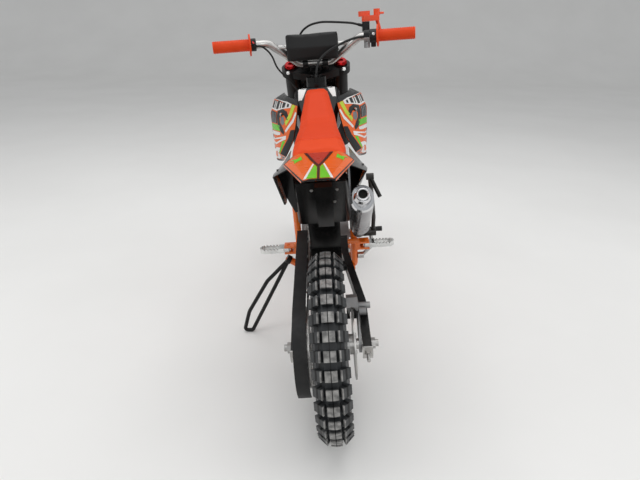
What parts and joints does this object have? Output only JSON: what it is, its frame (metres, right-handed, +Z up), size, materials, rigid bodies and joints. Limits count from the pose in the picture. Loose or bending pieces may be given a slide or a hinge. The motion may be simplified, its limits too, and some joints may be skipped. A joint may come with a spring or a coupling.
{
  "type": "mini motocross bike",
  "caption": "Small off-road motorcycle leaning on its side stand, with knobbly tyres, wire wheels, chain drive, high bars, long seat and flared side shrouds.",
  "frame": {"origin": "on the floor, at the middle of the parked bike's bounding box", "axes": "+Y forward, +X to the rider's right, +Z up; the bike leans 5 degrees to -X on its side stand"},
  "size_m": [0.5659, 1.3378, 0.885],
  "materials": {
    "orange_paint": "gloss",
    "black_paint": "satin",
    "aluminium": "satin",
    "chrome": "polished",
    "steel": "zinc plated",
    "cast_alloy": "cast",
    "rubber_black": "matt",
    "rubber_orange": "matt",
    "tyre": "matt",
    "plastic_orange": "gloss",
    "plastic_black": "gloss",
    "plastic_matt": "matt",
    "plastic_white": "gloss",
    "seat_cover": "grained vinyl",
    "pad_cover": "grained vinyl",
    "red_anodised": "anodised"
  },
  "bodies": {
    "chassis": {"brake_pedal": "steel", "carburettor": "cast_alloy", "chain": "steel", "chain_guard": "plastic_matt", "crankcase": "cast_alloy", "cylinder": "cast_alloy", "exhaust_pipe": "black_paint", "footpegs": "aluminium", "frame": "orange_paint", "front_sprocket": "steel", "fuel_cap": "plastic_black", "fuel_tank": "plastic_white", "inner_mudguard": "plastic_black", "kick_start": "steel", "rear_axle": "steel", "rear_caliper": "cast_alloy", "rear_fender": "plastic_orange", "rear_shock": "steel", "seat": "seat_cover", "shrouds": "plastic_orange", "side_panels": "plastic_black", "silencer": "chrome", "subframe": "black_paint", "swingarm": "black_paint"},
    "steering": {"triple_clamps": "black_paint", "fork_outers": "black_paint", "fork_legs": "chrome", "fork_caps": "red_anodised", "front_axle": "steel", "front_fender": "plastic_orange", "number_plate": "plastic_black", "handlebar": "steel", "grips": "rubber_orange", "bar_pad": "pad_cover", "kill_switch": "plastic_matt", "throttle_housing": "plastic_matt", "brake_master": "cast_alloy", "brake_lever": "orange_paint", "front_caliper": "cast_alloy", "brake_hose": "rubber_black", "kill_lead": "rubber_black", "vent_hose": "rubber_black"},
    "front_wheel": {"front_tyre": "tyre", "front_rim": "aluminium", "front_disc": "steel"},
    "rear_wheel": {"rear_tyre": "tyre", "rear_rim": "aluminium", "rear_disc": "steel", "rear_sprocket": "steel"},
    "side_stand": {"side_stand": "black_paint"}
  },
  "joints": [
    {"name": "steering", "type": "hinge", "parent": "chassis", "child": "steering", "pos_m": [0.01311, 0.20872, 0.6502], "axis": [-0.079, -0.4226, 0.9029], "range_deg": [-40, 40], "deforming": ["vent_hose", "kill_lead"]},
    {"name": "front_wheel_spin", "type": "hinge", "parent": "steering", "child": "front_wheel", "pos_m": [0.05099, 0.451, 0.21731], "axis": [0.9962, 0, 0.0872], "continuous": true},
    {"name": "rear_wheel_spin", "type": "hinge", "parent": "chassis", "child": "rear_wheel", "pos_m": [0.05212, -0.464, 0.20436], "axis": [0.9962, 0, 0.0872], "continuous": true},
    {"name": "stand_fold", "type": "hinge", "parent": "chassis", "child": "side_stand", "pos_m": [-0.05939, -0.114, 0.23978], "axis": [-0.8917, 0, 0.4527], "range_deg": [0, 90]}
  ]
}
